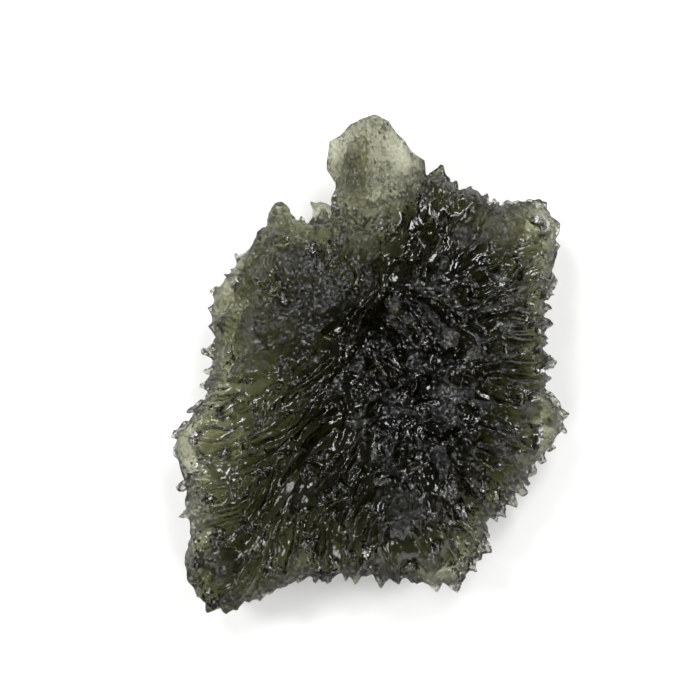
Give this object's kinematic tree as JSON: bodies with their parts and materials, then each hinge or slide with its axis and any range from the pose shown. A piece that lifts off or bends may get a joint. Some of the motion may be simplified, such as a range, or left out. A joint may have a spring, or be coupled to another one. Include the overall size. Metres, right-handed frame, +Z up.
{
  "type": "moldavite",
  "caption": "Flat rhombic piece of bottle-green natural glass, deeply etched into ridges and thorns, with a thin clear flake at one end.",
  "frame": {"origin": "centre of the stone's box, at the surface that it lies on", "axes": "+Z up out of the sculpted face, +Y along the stone's length towards its thin flake, +X towards its thick lobe"},
  "size_m": [0.0258, 0.032, 0.009],
  "materials": {
    "moldavite_glass": "deeply etched natural glass, glossy on its crests, near black where thick and pale yellow-green where thin"
  },
  "bodies": {
    "root": {"moldavite": "moldavite_glass"}
  },
  "joints": []
}
